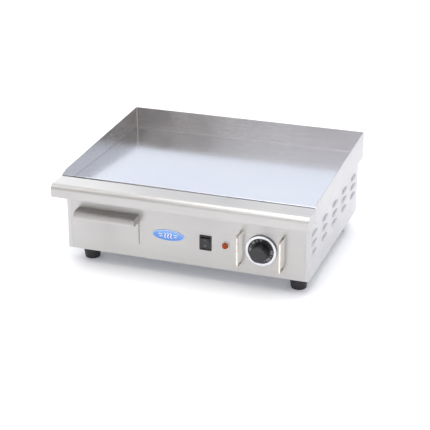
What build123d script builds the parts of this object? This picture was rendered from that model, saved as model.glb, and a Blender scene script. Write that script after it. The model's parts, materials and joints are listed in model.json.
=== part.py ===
from build123d import *
import math
import os

# Electric griddle, 550 mm wide: a polished steel plate in a welded splash frame, on a
# folded sheet-metal body with a grease drawer, a rocker switch, a lamp and a thermostat knob.
# Millimetres. +X is the user's right, +Y points to the back, +Z is up. The origin is on the
# surface that the feet stand on, under the centre of the overall box.

os.makedirs("parts", exist_ok=True)

# ---------------------------------------------------------------- driving dimensions
TOP_WIDTH = 550.0          # over the two side splash walls
BODY_WIDTH = 530.0         # over the two side panels
TOP_DEPTH = 458.0          # front face of the rail to the back of the splash
GLAND_REACH = 16.0         # how far the cable gland stands out at the back
FOOT_HEIGHT = 36.5
SKIRT_Z = 166.5            # underside of the splash frame
PLATE_THICKNESS = 8.0
PLATE_DEPTH = 346.0
SPLASH_BACK_Z = 226.5      # top of the splash at the back
SPLASH_FRONT_Z = 205.5     # top of the side walls where their front chamfer starts
SPLASH_CHAMFER = 14.5      # length of that chamfer along Y
RAIL_DEPTH = 52.5
RAIL_BOTTOM_Z = 169.0
RAIL_TOP_Z = 197.0
RAIL_NOSE_R = 12.0
SPLASH_SHEET = 1.5
BODY_SHEET = 1.2
FLANGE = 18.0              # inward flanges where the splash frame sits on the body
CORNER_STRIP = 8.0         # side panel fold that shows at each end of the front panel
SEAM = 0.2                 # gap between sheets that lie edge to edge
RUN_GAP = 0.3              # gap between pieces that move past each other
FRONT_FOLD = 15.0          # fold along the bottom of the front panel
BASE_RIM = 14.0            # upturned edge of the base
SCREW_R = 2.0              # case screws, and the thermostat's
SCREW_HOLE_R = 2.1
BLADE_LENGTH = 8.0         # terminal blades of switch and thermostat

DRAWER_X = -170.5
DRAWER_WIDTH = 137.0
DRAWER_Z = (66.5, 132.0)
DRAWER_LAP = (4.5, 3.5)    # how far the drawer face covers the panel at its sides, top and bottom
DRAWER_PROUD = 2.4         # drawer face in front of the front panel
LIP_REACH = 25.6           # pull lip in front of the drawer face
LIP_FALL = 2.0             # how far the lip slopes down towards its edge
LIP_NOSE_R = 13.0          # outer radius of its rolled front edge
LIP_EDGE = 2.0             # straight hem under the rolled edge
TRAY_WIDTH = 114.0
TRAY_RIM = 5.0
TRAY_Z = (72.0, 116.0)
TRAY_BACK_Y = 10.0
TRAY_WALL = 1.0
STOP_Z = (82.0, 107.0)     # cross strip behind the tray

BADGE_X, BADGE_Z = -37.0, 95.5
BADGE_SIZE = (71.0, 25.0, 1.0)
SWITCH_X, CONTROL_Z = 45.0, 91.0
SWITCH_BEZEL = (26.0, 33.0, 2.0)
SWITCH_CUTOUT = (22.0, 29.0)
ROCKER_TILT = 10.0         # degrees either side of level
LAMP_X = 88.0
LAMP_R = 6.8
KNOB_X, KNOB_Z = 164.8, 92.0
KNOB_RING_R = 33.0
KNOB_DIAL_R = 27.0
KNOB_BOSS_R = 18.0
KNOB_RING_FRONT = 4.8      # distances in front of the panel
KNOB_BOSS_FRONT = 26.5
SPINDLE_R = 3.0
SPINDLE_FIT = 0.05         # radial clearance of the spindle in the thermostat's neck
GUARD_OFFSET = 44.7        # each guard to the knob's axis
GUARD_Z = (57.0, 125.0)    # centre lines of the guard's two legs
GUARD_REACH = 24.8         # front of the guard's bar to the panel
GUARD_R = 2.3
GUARD_BEND = 5.5

FOOT_X = 232.0
FOOT_INSET = 46.5          # foot centre to the front or back panel
FOOT_TOP_R, FOOT_BOTTOM_R = 21.0, 16.0
FOOT_WELL = 10.0           # rubber left over the screw well in each foot
FOOT_WELL_R = 7.5
FOOT_BOLT_R = 3.0
FOOT_BOLT_HOLE_R = 3.2
NUT_R, NUT_HEIGHT = 5.8, 5.0              # nuts on the foot bolts and the plate's studs

LOUVRE_ROWS = (90.0, 111.3, 132.5)
LOUVRE_COLUMNS = 5
LOUVRE_PITCH = 82.0
LOUVRE_HALF = (4.0, 22.0, 8.0)   # how far out, half length, height of the hood

ELEMENT_R = 4.0
ELEMENT_PITCH = 55.0
ELEMENT_RUNS = 4
ELEMENT_Y = (-75.0, 175.0)
ELEMENT_X = (-125.0, 125.0)
STUD_R = 3.0
STUD_X = (-180.0, 0.0, 180.0)
CLAMP_Y = (-30.0, 50.0, 130.0)
BLANKET_Z = (130.0, 149.8)
BLANKET_Y = (-108.0, 208.0)
BLANKET_X = 238.0

# ---------------------------------------------------------------- worked-out places
FRONT_Y = -(TOP_DEPTH + GLAND_REACH) / 2
BACK_Y = FRONT_Y + TOP_DEPTH
PANEL_Y = FRONT_Y + RAIL_DEPTH            # outer face of the front panel
PANEL_IN_Y = PANEL_Y + BODY_SHEET
BODY_X = BODY_WIDTH / 2
TOP_X = TOP_WIDTH / 2
PLATE_Z = SKIRT_Z + SPLASH_SHEET          # underside of the plate
PLATE_TOP_Z = PLATE_Z + PLATE_THICKNESS
PLATE_BACK_Y = BACK_Y - SPLASH_SHEET
PLATE_FRONT_Y = PLATE_BACK_Y - PLATE_DEPTH
BASE_Z = FOOT_HEIGHT
BODY_MID_Y = (PANEL_Y + BACK_Y) / 2
FOOT_Y = (PANEL_Y + FOOT_INSET, BACK_Y - FOOT_INSET)


# ---------------------------------------------------------------- helpers
def block(x, y, z):
    """A box from its (low, high) limits on each axis."""
    size = (x[1] - x[0], y[1] - y[0], z[1] - z[0])
    middle = ((x[0] + x[1]) / 2, (y[0] + y[1]) / 2, (z[0] + z[1]) / 2)
    return Pos(*middle) * Box(*size)


def rod(radius, start, end):
    """A round bar between two points on a line along X, Y or Z."""
    direction = Vector(*end) - Vector(*start)
    plane = Plane(origin=start, z_dir=direction)
    return extrude(plane * Circle(radius), amount=direction.length)


def tube(points, radii, radius):
    """A round bar of the given radius along straight runs joined by arcs."""
    path = FilletPolyline(*points, radius=radii)
    plane = Plane(origin=path @ 0, z_dir=path % 0)
    return sweep(plane * Circle(radius), path=path)


def side_profile(points, x):
    """A closed outline of (y, z) points, extruded over the (low, high) limits of X."""
    outline = Polyline(*[(py, pz) for py, pz in points], close=True)
    plane = Plane(origin=(x[0], 0, 0), x_dir=(0, 1, 0), z_dir=(1, 0, 0))
    return extrude(plane * make_face(outline), amount=x[1] - x[0])


def front_profile(points, y):
    """A closed outline of (x, z) points, extruded over the (low, high) limits of Y."""
    outline = Polyline(*[(px, pz) for px, pz in points], close=True)
    plane = Plane(origin=(0, y[1], 0), x_dir=(1, 0, 0), z_dir=(0, -1, 0))
    return extrude(plane * make_face(outline), amount=y[1] - y[0])


def ahead(distance):
    """The Y value this far in front of the front panel."""
    return PANEL_Y - distance


def round_y_edges(solid, radius):
    return fillet(solid.edges().filter_by(Axis.Y), radius)


def save(name, shape):
    shape.label = name
    export_step(shape, f"parts/{name}.step")


def group(solids):
    return Compound(children=list(solids))


# ---------------------------------------------------------------- cooking top
def griddle_plate():
    half = TOP_X - SPLASH_SHEET - SEAM
    plate = block((-half, half), (PLATE_FRONT_Y, PLATE_BACK_Y - SEAM), (PLATE_Z, PLATE_TOP_Z))
    front_top = plate.edges().filter_by(Axis.X).group_by(Axis.Z)[-1].sort_by(Axis.Y)[0]
    return chamfer(front_top, 1.0)


def side_splash(side):
    """One side wall of the splash, with its chamfered front and inward seat flange."""
    outer = (TOP_X - SPLASH_SHEET, TOP_X) if side > 0 else (-TOP_X, -TOP_X + SPLASH_SHEET)
    outline = [
        (PANEL_Y, SKIRT_Z),
        (BACK_Y - SPLASH_SHEET, SKIRT_Z),
        (BACK_Y - SPLASH_SHEET, SPLASH_BACK_Z),
        (PANEL_Y + SPLASH_CHAMFER, SPLASH_FRONT_Z),
        (PANEL_Y, RAIL_TOP_Z),
    ]
    wall = side_profile(outline, outer)
    seat_x = sorted((side * (BODY_X - FLANGE), side * TOP_X))
    seat = block(seat_x, (PANEL_IN_Y + SEAM, BACK_Y - SPLASH_SHEET), (SKIRT_Z, PLATE_Z))
    for x, y in SEAT_SCREWS:
        if x * side > 0:
            seat -= rod(SCREW_R, (x, y, SKIRT_Z), (x, y, PLATE_Z))
    return wall + seat


def back_splash():
    wall = block((-TOP_X, TOP_X), (BACK_Y - SPLASH_SHEET, BACK_Y), (SKIRT_Z, SPLASH_BACK_Z))
    seat_x = BODY_X - FLANGE - SEAM
    seat = block((-seat_x, seat_x), (BACK_Y - FLANGE, BACK_Y), (SKIRT_Z, PLATE_Z))
    return wall + seat


def rail_section(inset):
    """The rail's closed cross-section, moved inwards by the inset."""
    front, back = FRONT_Y + inset, PANEL_Y - inset
    low, high = RAIL_BOTTOM_Z + inset, RAIL_TOP_Z - inset
    nose = RAIL_NOSE_R - inset
    top = Line((back, high), (front + nose, high))
    curve = RadiusArc((front + nose, high), (front, high - nose), -nose)
    face = Line((front, high - nose), (front, low))
    bottom = Line((front, low), (back, low))
    rear = Line((back, low), (back, high))
    return make_face([top, curve, face, bottom, rear])


def front_rail():
    plane = Plane(origin=(-TOP_X, 0, 0), x_dir=(0, 1, 0), z_dir=(1, 0, 0))
    outer = extrude(plane * rail_section(0), amount=TOP_WIDTH)
    hollow_plane = plane.offset(SPLASH_SHEET)
    hollow = extrude(hollow_plane * rail_section(SPLASH_SHEET), amount=TOP_WIDTH - 2 * SPLASH_SHEET)
    return outer - hollow


GUTTER_X = BODY_X - FLANGE - SEAM
GUTTER_FRONT_Y = PANEL_IN_Y + SEAM
GUTTER_REAR_Y = PLATE_FRONT_Y + 6.0
GUTTER_RIM_Z = 190.0
GUTTER_DRAIN_Z = 151.0
GUTTER_LEFT_Z = 154.0
GUTTER_RIGHT_Z = 160.0
DRAIN_R = 10.0
DRAIN_Y = (GUTTER_FRONT_Y + GUTTER_REAR_Y) / 2


def gutter_channel():
    """The trough between rail and plate, which falls towards its drain above the drawer."""
    floor_line = [(-GUTTER_X, GUTTER_LEFT_Z), (DRAWER_X, GUTTER_DRAIN_Z), (GUTTER_X, GUTTER_RIGHT_Z)]
    under = [(px, pz - BODY_SHEET) for px, pz in reversed(floor_line)]
    floor = front_profile(floor_line + under, (GUTTER_FRONT_Y, GUTTER_REAR_Y))
    front_leg = front_profile(
        under + [(-GUTTER_X, GUTTER_RIM_Z), (GUTTER_X, GUTTER_RIM_Z)],
        (GUTTER_FRONT_Y, GUTTER_FRONT_Y + BODY_SHEET),
    )
    rear_leg = front_profile(
        under + [(-GUTTER_X, PLATE_Z), (GUTTER_X, PLATE_Z)],
        (GUTTER_REAR_Y - BODY_SHEET, GUTTER_REAR_Y),
    )
    hem = block((-GUTTER_X, GUTTER_X), (PANEL_Y, GUTTER_FRONT_Y + BODY_SHEET),
                (GUTTER_RIM_Z - BODY_SHEET, GUTTER_RIM_Z))
    trough = floor + front_leg + rear_leg + hem
    for side, low in ((-1, GUTTER_LEFT_Z), (1, GUTTER_RIGHT_Z)):
        end_x = sorted((side * GUTTER_X, side * (GUTTER_X - BODY_SHEET)))
        trough += block(end_x, (GUTTER_FRONT_Y, GUTTER_REAR_Y), (low - BODY_SHEET, PLATE_Z))
    drain = rod(DRAIN_R, (DRAWER_X, DRAIN_Y, GUTTER_DRAIN_Z - 10), (DRAWER_X, DRAIN_Y, GUTTER_DRAIN_Z + 10))
    return trough - drain


def drain_spout():
    """A short pipe pressed into the drain, with a collar under the trough."""
    top = (DRAWER_X, DRAIN_Y, GUTTER_DRAIN_Z)
    low = (DRAWER_X, DRAIN_Y, TRAY_Z[1] + 8.0)
    collar_top = (DRAWER_X, DRAIN_Y, GUTTER_DRAIN_Z - BODY_SHEET - SEAM)
    collar_low = (DRAWER_X, DRAIN_Y, GUTTER_DRAIN_Z - BODY_SHEET - 2.0)
    pipe = rod(DRAIN_R - 0.1, low, top) + rod(DRAIN_R + 4.0, collar_low, collar_top)
    return pipe - rod(DRAIN_R - 1.3, low, top)


# ---------------------------------------------------------------- body shell
SWITCH_BACK = 20.0
BLADE_Y = PANEL_Y + SWITCH_BACK + BLADE_LENGTH
THERMOSTAT_SCREW = 14.0
LAMP_HOLE_R = 5.0
DRAWER_HOLE_HALF = DRAWER_WIDTH / 2 - DRAWER_LAP[0]
DRAWER_HOLE_X = (DRAWER_X - DRAWER_HOLE_HALF, DRAWER_X + DRAWER_HOLE_HALF)
DRAWER_HOLE_Z = (DRAWER_Z[0] + DRAWER_LAP[1], DRAWER_Z[1] - DRAWER_LAP[1])
PANEL_TOP_Z = RAIL_BOTTOM_Z + 16.0        # the front panel runs up behind the rail
NECK_HOLE_R = 5.5
GUARD_STUD_R = 1.5


def through_panel(radius, x, z):
    return rod(radius, (x, ahead(5), z), (x, PANEL_IN_Y + 5, z))


def front_panel():
    half = BODY_X - CORNER_STRIP - SEAM
    sheet = block((-half, half), (PANEL_Y, PANEL_IN_Y), (BASE_Z, PANEL_TOP_Z))
    fold_y = (PANEL_Y, PANEL_Y + FRONT_FOLD)
    sheet += block((-half, half), fold_y, (BASE_Z, BASE_Z + BODY_SHEET))
    sheet -= block(DRAWER_HOLE_X, (ahead(5), PANEL_IN_Y + 5), DRAWER_HOLE_Z)
    cut_x = (SWITCH_X - SWITCH_CUTOUT[0] / 2, SWITCH_X + SWITCH_CUTOUT[0] / 2)
    cut_z = (CONTROL_Z - SWITCH_CUTOUT[1] / 2, CONTROL_Z + SWITCH_CUTOUT[1] / 2)
    sheet -= block(cut_x, (ahead(5), PANEL_IN_Y + 5), cut_z)
    sheet -= through_panel(LAMP_HOLE_R, LAMP_X, CONTROL_Z)
    sheet -= through_panel(NECK_HOLE_R, KNOB_X, KNOB_Z)
    for side in (-1, 1):
        sheet -= through_panel(SCREW_HOLE_R, KNOB_X + side * THERMOSTAT_SCREW, KNOB_Z)
        for z in GUARD_Z:
            sheet -= through_panel(GUARD_STUD_R + 0.1, KNOB_X + side * GUARD_OFFSET, z)
    return sheet


def louvre_solids(side):
    """Every louvre hood of one side panel, and the slots under them."""
    reach, half_length, height = LOUVRE_HALF
    hoods, slots = [], []
    first = -(LOUVRE_COLUMNS - 1) / 2
    outer = scale(Sphere(1), by=(reach, half_length, height))
    inner = scale(Sphere(1), by=(reach - 1.0, half_length - 1.0, height - 1.0))
    upper = Pos(side * reach, 0, height / 2) * Box(2 * reach, 2 * half_length, height)
    hood = (outer - inner) & upper
    opening = inner & (Pos(0, 0, height / 2) * Box(4 * reach, 2 * half_length, height))
    for column in range(LOUVRE_COLUMNS):
        y = BODY_MID_Y + (first + column) * LOUVRE_PITCH
        for z in LOUVRE_ROWS:
            place = Pos(side * BODY_X, y, z - height / 2)
            hoods.append(place * hood)
            slots.append(place * opening)
    return hoods, slots


def side_panel(side):
    """A side of the body: louvred sheet, front corner strip and inward top flange."""
    wall_x = sorted((side * BODY_X, side * (BODY_X - BODY_SHEET)))
    wall = block(wall_x, (PANEL_Y, BACK_Y), (BASE_Z, SKIRT_Z))
    strip_x = sorted((side * BODY_X, side * (BODY_X - CORNER_STRIP)))
    wall += block(strip_x, (PANEL_Y, PANEL_IN_Y), (BASE_Z, SKIRT_Z))
    top_x = sorted((side * BODY_X, side * (BODY_X - FLANGE)))
    wall += block(top_x, (PANEL_IN_Y + 1.5, BACK_Y - BODY_SHEET - SEAM), (SKIRT_Z - BODY_SHEET, SKIRT_Z))
    hoods, slots = louvre_solids(side)
    for slot in slots:
        wall -= slot
    for hood in hoods:
        wall += hood
    for x, y in SEAT_SCREWS:
        if x * side > 0:
            wall -= rod(SCREW_HOLE_R, (x, y, SKIRT_Z - 3), (x, y, SKIRT_Z + 1))
    return wall


GLAND_X, GLAND_Z = 205.0, 70.0
GLAND_THREAD_R = 10.0
CABLE_HOLE_R = 5.5
SEAT_SCREWS = [(x, y) for x in (-253.5, 253.5) for y in (-150.0, 18.0, 190.0)]
BACK_SCREWS = [(x, z) for x in (-245.0, 0.0, 245.0) for z in (58.0, 156.0)]
BACK_SLOT_X = [-180.0 + 34.0 * i for i in range(10)]
BACK_SLOT_Z = 112.0
BACK_SLOT = (40.0, 5.0)    # length and width of each vent slot
BASE_HALF_X = BODY_X - BODY_SHEET - SEAM
BASE_FRONT_Y = PANEL_Y + FRONT_FOLD + SEAM
BACK_IN_Y = BACK_Y - BODY_SHEET


def back_panel():
    sheet = block((-BASE_HALF_X, BASE_HALF_X), (BACK_IN_Y, BACK_Y), (BASE_Z, SKIRT_Z - SEAM))
    sheet -= rod(GLAND_THREAD_R + 0.2, (GLAND_X, BACK_IN_Y - 5, GLAND_Z), (GLAND_X, BACK_Y + 5, GLAND_Z))
    for x, z in BACK_SCREWS:
        sheet -= rod(SCREW_HOLE_R, (x, BACK_IN_Y - 5, z), (x, BACK_Y + 5, z))
    for x in BACK_SLOT_X:
        slot = Pos(x, BACK_Y, BACK_SLOT_Z) * Rot(90, 0, 0) * SlotOverall(*BACK_SLOT, rotation=90)
        sheet -= extrude(slot, amount=8, both=True)
    return sheet


BASE_SLOT_X = [30.0 + 26.0 * i for i in range(6)]
BASE_SLOT_Y = 110.0
BASE_SLOT = (70.0, 6.0)


def base_panel():
    """The base: a tray with upturned edges, vent slots and the feet's screw holes."""
    y = (BASE_FRONT_Y, BACK_IN_Y - SEAM)
    x = (-BASE_HALF_X, BASE_HALF_X)
    tray = block(x, y, (BASE_Z, BASE_Z + BASE_RIM))
    inner_x = (x[0] + BODY_SHEET, x[1] - BODY_SHEET)
    inner_y = (y[0] + BODY_SHEET, y[1] - BODY_SHEET)
    tray -= block(inner_x, inner_y, (BASE_Z + BODY_SHEET, BASE_Z + BASE_RIM + 1))
    for foot_x, foot_y in foot_places():
        tray -= rod(FOOT_BOLT_HOLE_R, (foot_x, foot_y, BASE_Z - 1), (foot_x, foot_y, BASE_Z + 5))
    for x in BASE_SLOT_X:
        slot = Pos(x, BASE_SLOT_Y, BASE_Z) * SlotOverall(*BASE_SLOT, rotation=90)
        tray -= extrude(slot, amount=5, both=True)
    return tray


# ---------------------------------------------------------------- feet and screws
def foot_places():
    return [(side * FOOT_X, y) for y in FOOT_Y for side in (-1, 1)]


def foot(x, y):
    """A tapered rubber foot with a deep screw well in its underside."""
    upright = (Align.CENTER, Align.CENTER, Align.MIN)
    body = Pos(x, y, 0) * Cone(FOOT_BOTTOM_R, FOOT_TOP_R, FOOT_HEIGHT, align=upright)
    body = fillet(body.edges().filter_by(GeomType.CIRCLE).sort_by(Axis.Z)[0], 2.5)
    well = rod(FOOT_WELL_R, (x, y, 0), (x, y, FOOT_HEIGHT - FOOT_WELL))
    hole = rod(FOOT_BOLT_HOLE_R, (x, y, 0), (x, y, FOOT_HEIGHT))
    return body - well - hole


def screw(radius, head_radius, head_height, tip, seat, outward):
    """A pan-head screw along one axis: its tip, the point under its head, and the way out."""
    head_end = tuple(s + o * head_height for s, o in zip(seat, outward))
    return rod(radius, tip, seat) + rod(head_radius, seat, head_end)


def hex_nut(x, y, low):
    nut = extrude(Pos(x, y, low) * RegularPolygon(NUT_R, 6), amount=NUT_HEIGHT)
    return nut - rod(STUD_R, (x, y, low), (x, y, low + NUT_HEIGHT))


def foot_bolts():
    """A bolt up through each foot, with its nut inside the base."""
    solids = []
    for x, y in foot_places():
        seat = (x, y, FOOT_HEIGHT - FOOT_WELL)
        solids.append(screw(FOOT_BOLT_R, 5.5, 3.0, (x, y, BASE_Z + 8.0), seat, (0, 0, -1)))
        solids.append(hex_nut(x, y, BASE_Z + BODY_SHEET))
    return group(solids)


def case_screws():
    """Screws of the back panel, and those that hold the splash frame down on the body."""
    solids = []
    for x, z in BACK_SCREWS:
        solids.append(screw(SCREW_R, 3.8, 1.6, (x, BACK_IN_Y - 6, z), (x, BACK_Y, z), (0, 1, 0)))
    for x, y in SEAT_SCREWS:
        seat = (x, y, SKIRT_Z - BODY_SHEET)
        solids.append(screw(SCREW_R, 3.8, 2.0, (x, y, PLATE_Z), seat, (0, 0, -1)))
    return group(solids)


# ---------------------------------------------------------------- grease drawer
FACE_Y = ahead(DRAWER_PROUD)
FACE_BACK_Y = PANEL_Y - RUN_GAP


def drawer_front():
    """The drawer face: a shallow folded pan with a rolled pull lip that is closed at both ends."""
    x = (DRAWER_X - DRAWER_WIDTH / 2, DRAWER_X + DRAWER_WIDTH / 2)
    pan = block(x, (FACE_Y, FACE_BACK_Y), DRAWER_Z)
    inner_x = (x[0] + BODY_SHEET, x[1] - BODY_SHEET)
    hollow = block(inner_x, (FACE_Y + BODY_SHEET, FACE_BACK_Y + 1),
                   (DRAWER_Z[0] + BODY_SHEET, DRAWER_Z[1] - BODY_SHEET))
    front = pan - hollow
    top, nose = DRAWER_Z[1], FACE_Y - LIP_REACH
    hem = top - LIP_FALL - LIP_NOSE_R - LIP_EDGE
    lip = side_profile([(FACE_Y + BODY_SHEET, top), (FACE_Y + BODY_SHEET, hem), (nose, hem),
                        (nose, top - LIP_FALL), (FACE_Y, top)], x)
    lip = fillet(lip.edges().filter_by(Axis.X).group_by(Axis.Y)[0].sort_by(Axis.Z)[-1], LIP_NOSE_R)
    under = side_profile([(FACE_Y, top - BODY_SHEET), (FACE_Y, hem - 1), (nose + BODY_SHEET, hem - 1),
                          (nose + BODY_SHEET, top - LIP_FALL - BODY_SHEET)], inner_x)
    under = fillet(under.edges().filter_by(Axis.X).group_by(Axis.Y)[0].sort_by(Axis.Z)[-1],
                   LIP_NOSE_R - BODY_SHEET)
    return front + (lip - under)


TRAY_FRONT_Y = FACE_Y + BODY_SHEET


def drawer_tray():
    """The deep grease tray with an out-turned rim along both sides."""
    x = (DRAWER_X - TRAY_WIDTH / 2, DRAWER_X + TRAY_WIDTH / 2)
    tray = block(x, (TRAY_FRONT_Y, TRAY_BACK_Y), TRAY_Z)
    upright = tray.edges().filter_by(Axis.Z).group_by(Axis.Y)[-1]
    tray = fillet(upright, 6.0)
    rim_x = (x[0] - TRAY_RIM, x[1] + TRAY_RIM)
    tray += block(rim_x, (PANEL_IN_Y + 4.0, TRAY_BACK_Y - 12.0), (TRAY_Z[1] - TRAY_WALL, TRAY_Z[1]))
    inside = block((x[0] + TRAY_WALL, x[1] - TRAY_WALL), (TRAY_FRONT_Y + TRAY_WALL, TRAY_BACK_Y - TRAY_WALL),
                   (TRAY_Z[0] + TRAY_WALL, TRAY_Z[1] + 1))
    corners = inside.edges().filter_by(Axis.Z).group_by(Axis.Y)[-1]
    return tray - fillet(corners, 5.0)


def drawer_runner(side):
    """A folded runner on the base, whose shelf carries the tray's rim."""
    shelf_z = TRAY_Z[1] - TRAY_WALL - RUN_GAP
    rim = TRAY_WIDTH / 2 + TRAY_RIM
    inner = DRAWER_X + side * (TRAY_WIDTH / 2 + 1.0)
    wall = DRAWER_X + side * (rim + 1.8)
    outer = DRAWER_X + side * (rim + 1.8 + BODY_SHEET)
    toe = DRAWER_X + side * (rim - 12.0)
    y = (PANEL_IN_Y + 2.0, TRAY_BACK_Y + 10.0)
    runner = block(sorted((wall, outer)), y, (BASE_Z + BODY_SHEET, shelf_z))
    runner += block(sorted((inner, outer)), y, (shelf_z - BODY_SHEET, shelf_z))
    toe_z = (BASE_Z + BODY_SHEET, BASE_Z + 2 * BODY_SHEET)
    runner += block(sorted((toe, outer)), (BASE_FRONT_Y + 3.0, y[1]), toe_z)
    across = sorted((inner - 30 * side, outer + 30 * side))
    front_notch = block(across, (y[0], BASE_FRONT_Y + 3.0), (BASE_Z, BASE_Z + 16.0))
    foot_notch = block(across, (FOOT_Y[0] - 9.0, FOOT_Y[0] + 9.0), (BASE_Z, BASE_Z + 12.0))
    return runner - front_notch - foot_notch


def runner_stop():
    """The cross strip behind the tray that ties both runners and stops the drawer."""
    rim = TRAY_WIDTH / 2 + TRAY_RIM + 1.8
    y = (TRAY_BACK_Y + RUN_GAP, TRAY_BACK_Y + RUN_GAP + BODY_SHEET)
    return block((DRAWER_X - rim, DRAWER_X + rim), y, STOP_Z)


# ---------------------------------------------------------------- switch and lamp
ROCKER_PIVOT = ahead(-2.5)
ROCKER_END_R = 13.2
ROCKER_FRONT = 6.0
ROCKER_HALF_X = 9.6
CAVITY_HALF = (9.8, 13.6)
PIN_R = 1.25


def switch_housing():
    """The switch's snap-in housing: bezel frame, hollow body and four blade terminals."""
    bezel_x, bezel_z, bezel_d = SWITCH_BEZEL
    x = (SWITCH_X - bezel_x / 2, SWITCH_X + bezel_x / 2)
    z = (CONTROL_Z - bezel_z / 2, CONTROL_Z + bezel_z / 2)
    bezel = round_y_edges(block(x, (ahead(bezel_d), PANEL_Y), z), 1.5)
    bezel = chamfer(bezel.faces().sort_by(Axis.Y)[0].edges(), 0.6)
    body_x = (SWITCH_X - SWITCH_CUTOUT[0] / 2 + 0.2, SWITCH_X + SWITCH_CUTOUT[0] / 2 - 0.2)
    body_z = (CONTROL_Z - SWITCH_CUTOUT[1] / 2 + 0.2, CONTROL_Z + SWITCH_CUTOUT[1] / 2 - 0.2)
    body = block(body_x, (PANEL_Y, PANEL_Y + SWITCH_BACK), body_z)
    cavity_x = (SWITCH_X - CAVITY_HALF[0], SWITCH_X + CAVITY_HALF[0])
    cavity_z = (CONTROL_Z - CAVITY_HALF[1], CONTROL_Z + CAVITY_HALF[1])
    housing = bezel + body - block(cavity_x, (ahead(5), PANEL_Y + 14.0), cavity_z)
    pin_span = ROCKER_HALF_X + 1.0
    housing -= rod(PIN_R + SPINDLE_FIT, (SWITCH_X - pin_span, ROCKER_PIVOT, CONTROL_Z),
                   (SWITCH_X + pin_span, ROCKER_PIVOT, CONTROL_Z))
    for dx in (-5.0, 5.0):
        for dz in (-7.0, 7.0):
            blade_x = (SWITCH_X + dx - 0.4, SWITCH_X + dx + 0.4)
            blade_z = (CONTROL_Z + dz - 3.1, CONTROL_Z + dz + 3.1)
            housing += block(blade_x, (PANEL_Y + SWITCH_BACK, BLADE_Y), blade_z)
    return housing


def switch_rocker():
    """The rocker, resting with its lower half pressed in, on two side pins."""
    front, end_z = ROCKER_FRONT, math.sqrt(ROCKER_END_R ** 2 - ROCKER_FRONT ** 2)
    outline = [
        Line((-4.5, 0), (-front, end_z)),
        ThreePointArc((-front, end_z), (-2.0, math.sqrt(ROCKER_END_R ** 2 - 4.0)), (0, ROCKER_END_R)),
        Line((0, ROCKER_END_R), (4.0, 5.0)),
        Line((4.0, 5.0), (4.0, -5.0)),
        Line((4.0, -5.0), (0, -ROCKER_END_R)),
        ThreePointArc((0, -ROCKER_END_R), (-2.0, -math.sqrt(ROCKER_END_R ** 2 - 4.0)), (-front, -end_z)),
        Line((-front, -end_z), (-4.5, 0)),
    ]
    plane = Plane(origin=(-ROCKER_HALF_X, 0, 0), x_dir=(0, 1, 0), z_dir=(1, 0, 0))
    rocker = extrude(plane * make_face(outline), amount=2 * ROCKER_HALF_X)
    rocker += rod(PIN_R, (-ROCKER_HALF_X - 0.9, 0, 0), (ROCKER_HALF_X + 0.9, 0, 0))
    return Pos(SWITCH_X, ROCKER_PIVOT, CONTROL_Z) * Rot(ROCKER_TILT, 0, 0) * rocker


def lamp_lens():
    """A domed lens that stands proud of its bezel."""
    flat = rod(LAMP_R, (LAMP_X, ahead(1.6), CONTROL_Z), (LAMP_X, ahead(5.6), CONTROL_Z))
    front_edge = flat.edges().filter_by(GeomType.CIRCLE).sort_by(Axis.Y)[0]
    return fillet(front_edge, 2.5)


def lamp_body():
    bezel = rod(LAMP_R + 1.5, (LAMP_X, PANEL_Y, CONTROL_Z), (LAMP_X, ahead(2.2), CONTROL_Z))
    bezel = fillet(bezel.edges().filter_by(GeomType.CIRCLE).sort_by(Axis.Y)[0], 0.6)
    bezel -= rod(LAMP_R + 0.05, (LAMP_X, ahead(1.6), CONTROL_Z), (LAMP_X, ahead(3.0), CONTROL_Z))
    barrel = rod(LAMP_HOLE_R - 0.1, (LAMP_X, PANEL_Y, CONTROL_Z), (LAMP_X, PANEL_Y + 24.0, CONTROL_Z))
    return bezel + barrel


def lamp_nut():
    plane = Plane(origin=(LAMP_X, PANEL_IN_Y, CONTROL_Z), z_dir=(0, 1, 0))
    nut = extrude(plane * RegularPolygon(8.0, 6), amount=3.0)
    bore_end = (LAMP_X, PANEL_IN_Y + 3.0, CONTROL_Z)
    return nut - rod(LAMP_HOLE_R - 0.1, (LAMP_X, PANEL_IN_Y, CONTROL_Z), bore_end)


def badge():
    """A blank domed oval badge."""
    width, height, thickness = BADGE_SIZE
    plane = Plane(origin=(BADGE_X, PANEL_Y, BADGE_Z), x_dir=(1, 0, 0), z_dir=(0, -1, 0))
    oval = extrude(plane * Ellipse(width / 2, height / 2), amount=thickness)
    return fillet(oval.edges().sort_by(Axis.Y)[0], 0.5)


# ---------------------------------------------------------------- thermostat and knob
def on_axis(distance):
    return (KNOB_X, ahead(distance), KNOB_Z)


KNOB_DIAL_FRONT = KNOB_RING_FRONT - 0.8
KNOB_BACK = 2.4
KNOB_RING_BACK = 2.8
SPINDLE_TIP = 20.0


def knob_body():
    """Black knob: a thin dial disc with a gripping boss that tapers slightly."""
    disc = rod(KNOB_DIAL_R, on_axis(KNOB_BACK), on_axis(KNOB_DIAL_FRONT))
    boss_height = KNOB_BOSS_FRONT - KNOB_DIAL_FRONT
    plane = Plane(origin=on_axis(KNOB_DIAL_FRONT), z_dir=(0, -1, 0))
    boss = extrude(plane * Circle(KNOB_BOSS_R), amount=boss_height, taper=2.0)
    boss = fillet(boss.edges().filter_by(GeomType.CIRCLE).sort_by(Axis.Y)[0], 2.0)
    return disc + boss - rod(SPINDLE_R, on_axis(KNOB_BACK), on_axis(SPINDLE_TIP))


def knob_ring():
    """The bright ring round the dial, with a rounded front edge."""
    outer = rod(KNOB_RING_R, on_axis(KNOB_RING_BACK), on_axis(KNOB_RING_FRONT))
    outer = fillet(outer.edges().filter_by(GeomType.CIRCLE).sort_by(Axis.Y)[0], 1.2)
    return outer - rod(KNOB_DIAL_R, on_axis(KNOB_BACK), on_axis(KNOB_RING_FRONT + 1))


def spindle():
    return rod(SPINDLE_R, on_axis(-20.0), on_axis(SPINDLE_TIP))


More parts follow.
